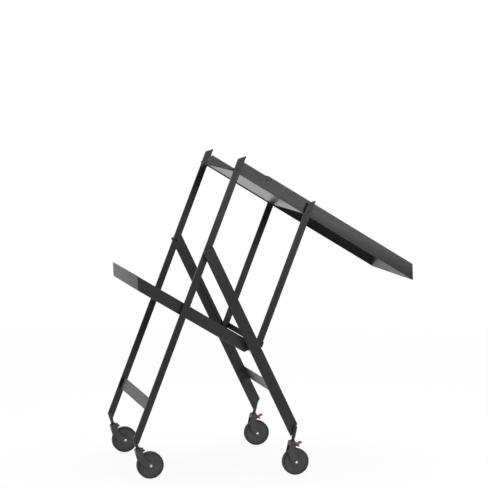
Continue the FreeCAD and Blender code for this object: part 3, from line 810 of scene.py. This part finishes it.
class TROLLEY_OT_wheels(bpy.types.Operator):
    """Build the moulded wheel discs and their rubber tyres"""
    bl_idname = "trolley.wheels"
    bl_label = "Wheels"
    bl_options = {"REGISTER", "UNDO"}

    def execute(self, context):
        sizes = context.scene.trolley_castors
        wheel, width, depth = sizes.wheel / MM, sizes.width / MM, sizes.tyre / MM
        rim, hub, bore = sizes.rim / MM, sizes.hub / MM, sizes.axle / MM + 0.05
        seat_radius, half = wheel - depth, width / 2
        face = half - 0.5
        half_disc = [(bore, face - 0.4), (bore + 0.6, face), (hub - 0.8, face), (hub, face - 0.5),
                     (hub + 0.8, face - 1.8), (hub + 1.8, face - 2.1), (rim - 1.8, face - 2.1),
                     (rim - 0.8, face - 1.8), (rim, face - 0.5), (rim + 0.7, face),
                     (seat_radius - 0.5, face), (seat_radius, face - 0.5)]
        disc = half_disc + [(r, -y) for r, y in half_disc[::-1]]
        half_tyre = [(seat_radius, half - 0.9), (seat_radius + 0.4, half - 0.3),
                     (seat_radius + 1.0, half - 0.1), (seat_radius + 1.3, half - 0.5),
                     (seat_radius + 1.6, half - 0.1), (wheel - 2.6, half - 0.1)]
        half_tyre += [(wheel - 2.6 + 2.6 * math.sin(math.radians(a)) - 0.25 * a / 90,
                       half - 2.7 + 2.6 * math.cos(math.radians(a)))
                      for a in (20, 40, 60, 80)]
        half_tyre += [(wheel - 0.1, half * 0.4), (wheel, 0.0)]
        tread = half_tyre + [(r, -y) for r, y in half_tyre[-2::-1]]
        for end in ("long", "short"):
            for side in SIDES:
                name = f"{end}_{side}"
                place, _ = castor_frame(name)
                piece(f"{name}_wheel_disc", turned(disc, sizes.facets, ring=True), place,
                      f"{name}_roller", "castor_nylon", [f"{name}_wheel"], sharp=50)
                piece(f"{name}_tyre_tread", turned(tread, sizes.facets, ring=True), place,
                      f"{name}_roller", "tyre_rubber", [f"{name}_tyre"], sharp=60)
        return {"FINISHED"}


def rib_row_tree():
    """Geometry nodes that repeat one rib in a row of even steps."""
    tree = bpy.data.node_groups.get("rib_row")
    if tree:
        return tree
    tree, given = open_tree("rib_row", {"Start": "Vector", "Step": "Vector", "Count": "Int"})
    line = node(tree, "GeometryNodeMeshLine", {
        "Count": given["Count"], "Start Location": given["Start"], "Offset": given["Step"]})
    copies = node(tree, "GeometryNodeInstanceOnPoints", {
        "Points": line.outputs[0], "Instance": given["Geometry"]})
    return close_tree(tree, copies, given["Finish"])


class TROLLEY_OT_brakes(bpy.types.Operator):
    """Build the two brake levers with their ribbed toe pads, and the pins they rock on"""
    bl_idname = "trolley.brakes"
    bl_label = "Brakes"
    bl_options = {"REGISTER", "UNDO"}

    def execute(self, context):
        x, z = LEVER
        lever = rounded([
            (x - 2.9, z - 2, 1.5), (x, z - 4, 2), (x + 7.2, z - 6, 1), (x + 10, z - 4.4, 1.2),
            (x + 4.6, z + 0.2, 2), (x + 14, z + 8, 1.2), (x + 12.4, z + 11, 1.2), (x, z + 4, 2.5),
            (x - 2.9, z + 2, 1.5)])
        half = 8.0
        rib = rounded([(-0.6, -0.6, 0.2), (0.6, -0.6, 0.2), (0.4, 0.4, 0.3), (-0.4, 0.4, 0.3)], 2)
        rise = math.atan2(7.0, 12.4)
        for side in SIDES:
            place, _ = castor_frame(f"short_{side}")
            piece(f"{side}_brake_lever_moulding", prism(lever, -half, half), place,
                  f"{side}_brake", "red_nylon", [f"{side}_brake_lever"], 0.6 * MM, 3)
            bm = prism(rib, -half + 1, half - 1)
            bm.transform(Matrix.Rotation(-rise, 4, "Y"))
            mesh = grown(f"{side}_toe", bm, rib_row_tree(), {
                "Start": ((x + 5.5) * MM, 0.0, (z + 7.25) * MM),
                "Step": (1.55 * MM, 0.0, 0.875 * MM), "Count": 4,
                "Finish": finish_of("black_nylon")})
            mesh.transform(place)
            dress(f"{side}_brake_toe_ribs", mesh, f"{side}_brake", "black_nylon")
            inner, outer = (reach / MM for reach in span(f"{side}_brake_pin"))
            reach = (outer - inner) / 2
            pin = [(0, -reach), (1.1, -reach), (1.5, -reach + 0.4), (1.5, reach - 0.4),
                   (1.1, reach), (0, reach)]
            piece(f"{side}_brake_pin_rod", turned(pin, 20),
                  place @ Matrix.Translation((x * MM, 0, z * MM)), f"short_{side}_castor",
                  "zinc_steel", [f"{side}_brake_pin"])
        return {"FINISHED"}


# ---------------------------------------------------------------- stage
CAMERA_PLACE = (-1.542, -5.7038, 1.25)
CAMERA_TURN = {"yaw": 14.677, "pitch": 5.633, "roll": 0.793}


def aimed(name, place, target, power, wide, high):
    """Soft rectangular lamp that the camera doesn't see."""
    lamp = bpy.data.lights.new(name, "AREA")
    lamp.shape, lamp.size, lamp.size_y, lamp.energy = "RECTANGLE", wide, high, power
    obj = bpy.data.objects.new(name, lamp)
    obj.location = place
    obj.rotation_euler = (Vector(target) - Vector(place)).to_track_quat("-Z", "Y").to_euler()
    obj.visible_camera = False
    bpy.context.scene.collection.objects.link(obj)
    return obj


def studio_level(tree, along, near, far, low, high):
    """Strength that rises from low to high along Y, and is 1 where the camera sees it."""
    front = node(tree, "ShaderNodeMapRange", {
        "Value": along.outputs["Y"], "From Min": near, "From Max": far, "To Min": low,
        "To Max": high}, interpolation_type="SMOOTHSTEP")
    seen = node(tree, "ShaderNodeLightPath")
    level = node(tree, "ShaderNodeMix", {0: seen.outputs["Is Camera Ray"], 2: front.outputs[0],
                                         3: 1.0})
    return level.outputs[0]


def studio_world():
    """White studio: bright behind and above, darker on the side where the camera stands."""
    world = bpy.data.worlds.new("studio")
    world.use_nodes = True
    tree = world.node_tree
    tree.nodes.clear()
    way = node(tree, "ShaderNodeTexCoord")
    along = node(tree, "ShaderNodeSeparateXYZ", {0: way.outputs["Generated"]})
    level = studio_level(tree, along, -0.75, 0.1, 0.08, 0.95)
    back = node(tree, "ShaderNodeBackground", {"Color": (1, 1, 1, 1), "Strength": level})
    node(tree, "ShaderNodeOutputWorld", {"Surface": back.outputs[0]})
    return world


def studio_floor(size):
    """Pale sweep: takes soft shadows near the trolley and fades to plain white beyond it."""
    material, tree = blank("studio_paper")
    place = node(tree, "ShaderNodeTexCoord")
    far = node(tree, "ShaderNodeVectorMath", {0: place.outputs["Object"]}, operation="LENGTH")
    fade = node(tree, "ShaderNodeMapRange", {
        "Value": far.outputs["Value"], "From Min": 1.2, "From Max": 3.5, "To Min": 0.88,
        "To Max": 1.0}, interpolation_type="SMOOTHSTEP")
    grain = speckle(tree, 0.004)
    tone = node(tree, "ShaderNodeMix", {0: grain.outputs["Fac"], 6: linear("#f4f4f4"),
                                        7: linear("#f8f8f8")}, data_type="RGBA")
    paper = node(tree, "ShaderNodeBsdfPrincipled", {
        "Base Color": tone.outputs[2], "Roughness": 0.85, "Specular IOR Level": 0.1})
    along = node(tree, "ShaderNodeSeparateXYZ", {0: place.outputs["Object"]})
    level = studio_level(tree, along, -1.5, -0.25, 0.1, 1.0)
    white = node(tree, "ShaderNodeEmission", {"Color": (1, 1, 1, 1), "Strength": level})
    mixed = node(tree, "ShaderNodeMixShader", {0: fade.outputs[0], 1: paper.outputs[0],
                                               2: white.outputs[0]})
    node(tree, "ShaderNodeOutputMaterial", {"Surface": mixed.outputs[0]})
    mesh = bpy.data.meshes.new("floor")
    corners = [(-size, -size, 0), (size, -size, 0), (size, size, 0), (-size, size, 0)]
    mesh.from_pydata(corners, [], [(0, 1, 2, 3)])
    mesh.materials.append(material)
    obj = bpy.data.objects.new("floor", mesh)
    bpy.context.scene.collection.objects.link(obj)


class TROLLEY_OT_stage(bpy.types.Operator):
    """Build the floor, the lamps, the world and the camera"""
    bl_idname = "trolley.stage"
    bl_label = "Stage"
    bl_options = {"REGISTER", "UNDO"}

    def execute(self, context):
        stage = context.scene.trolley_stage
        context.scene.view_settings.view_transform = "Standard"
        context.scene.world = studio_world()
        studio_floor(stage.floor_size)
        aimed("overhead_lamp", (0.2, 0.1, 2.9), (0, 0, 0.4), stage.key_power, 2.4, 2.0)
        aimed("front_lamp", (1.5, -3.2, 1.28), (0.1, -0.2, 0.9), stage.front_power, 2.8, 0.8)
        camera = bpy.data.cameras.new("camera")
        camera.lens, camera.sensor_width = stage.lens, 36.0
        camera.clip_start, camera.clip_end = 0.1, 100.0
        obj = bpy.data.objects.new("camera", camera)
        context.scene.collection.objects.link(obj)
        yaw, pitch, roll = (math.radians(angle) for angle in CAMERA_TURN.values())
        ahead = Vector((math.sin(yaw) * math.cos(pitch), math.cos(yaw) * math.cos(pitch),
                        -math.sin(pitch)))
        right = Vector((math.cos(yaw), -math.sin(yaw), 0))
        above = right.cross(ahead)
        right, above = (right * math.cos(roll) + above * math.sin(roll),
                        above * math.cos(roll) - right * math.sin(roll))
        turn = Matrix((right, above, -ahead)).transposed().to_4x4()
        obj.matrix_world = Matrix.Translation(CAMERA_PLACE) @ turn
        context.scene.camera = obj
        return {"FINISHED"}


# ---------------------------------------------------------------- add-on
GROUPS = {"trolley_bars": TrolleyBars, "trolley_sheets": TrolleySheets,
          "trolley_castors": TrolleyCastors, "trolley_finishes": TrolleyFinishes,
          "trolley_stage": TrolleyStage}
OPERATORS = (TROLLEY_OT_long_legs, TROLLEY_OT_short_legs, TROLLEY_OT_struts, TROLLEY_OT_table,
             TROLLEY_OT_lower_tray, TROLLEY_OT_pivots, TROLLEY_OT_stems, TROLLEY_OT_forks,
             TROLLEY_OT_wheels, TROLLEY_OT_brakes, TROLLEY_OT_stage)


class TROLLEY_PT_panel(bpy.types.Panel):
    """Lists the trolley's sizes, finishes and build steps"""
    bl_idname = "TROLLEY_PT_panel"
    bl_label = "Folding trolley"
    bl_space_type = "VIEW_3D"
    bl_region_type = "UI"
    bl_category = "Trolley"

    def draw(self, context):
        for name, group in GROUPS.items():
            box = self.layout.box()
            for setting in group.__annotations__:
                box.prop(getattr(context.scene, name), setting)
        for operator in OPERATORS:
            self.layout.operator(operator.bl_idname)


def register():
    for kind in (*GROUPS.values(), *OPERATORS, TROLLEY_PT_panel):
        bpy.utils.register_class(kind)
    for name, group in GROUPS.items():
        setattr(bpy.types.Scene, name, PointerProperty(type=group))


def unregister():
    for name in GROUPS:
        delattr(bpy.types.Scene, name)
    for kind in (TROLLEY_PT_panel, *OPERATORS[::-1], *list(GROUPS.values())[::-1]):
        bpy.utils.unregister_class(kind)


def main():
    register()
    for operator in OPERATORS:
        getattr(bpy.ops.trolley, operator.bl_idname.split(".")[1])()


if __name__ == "__main__":
    main()
